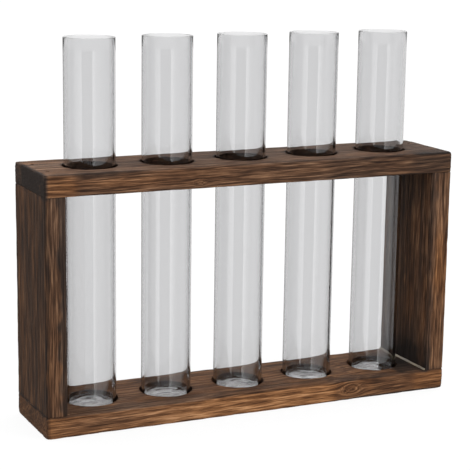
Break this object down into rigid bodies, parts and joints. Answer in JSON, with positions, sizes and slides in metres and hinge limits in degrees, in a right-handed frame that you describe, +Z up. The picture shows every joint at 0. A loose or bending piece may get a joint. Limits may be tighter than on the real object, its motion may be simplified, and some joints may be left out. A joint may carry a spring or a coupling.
{
  "type": "tube rack with glass tubes",
  "caption": "Free-standing torched-wood frame rack that holds a row of loose, flat-bottomed clear glass tubes upright in bored holes and shallow sockets.",
  "frame": {"origin": "on the resting surface, under the middle of the rack", "axes": "+X along the rack's width, +Y from its front to its back, +Z up"},
  "size_m": [0.265, 0.055, 0.2265],
  "materials": {
    "torched_wood": "burnt and wire-brushed, matt",
    "clear_glass": "clear, fire-polished",
    "brad_steel": "darkened by the torch",
    "dried_glue": "dried, slightly translucent, smeared"
  },
  "bodies": {
    "rack": {"top_board": "torched_wood", "base_board": "torched_wood", "left_upright": "torched_wood", "right_upright": "torched_wood", "brad_top_left_front": "brad_steel", "brad_top_left_back": "brad_steel", "brad_top_right_front": "brad_steel", "brad_top_right_back": "brad_steel", "brad_base_left_front": "brad_steel", "brad_base_left_back": "brad_steel", "brad_base_right_front": "brad_steel", "brad_base_right_back": "brad_steel", "glue_bead": "dried_glue"},
    "tube_1": {"tube_1": "clear_glass"},
    "tube_2": {"tube_2": "clear_glass"},
    "tube_3": {"tube_3": "clear_glass"},
    "tube_4": {"tube_4": "clear_glass"},
    "tube_5": {"tube_5": "clear_glass"}
  },
  "joints": [
    {"name": "tube_1_lift", "type": "slide", "parent": "rack", "child": "tube_1", "axis": [0, 0, 1], "range_m": [0, 0.155]},
    {"name": "tube_2_lift", "type": "slide", "parent": "rack", "child": "tube_2", "axis": [0, 0, 1], "range_m": [0, 0.155]},
    {"name": "tube_3_lift", "type": "slide", "parent": "rack", "child": "tube_3", "axis": [0, 0, 1], "range_m": [0, 0.155]},
    {"name": "tube_4_lift", "type": "slide", "parent": "rack", "child": "tube_4", "axis": [0, 0, 1], "range_m": [0, 0.155]},
    {"name": "tube_5_lift", "type": "slide", "parent": "rack", "child": "tube_5", "axis": [0, 0, 1], "range_m": [0, 0.155]}
  ]
}
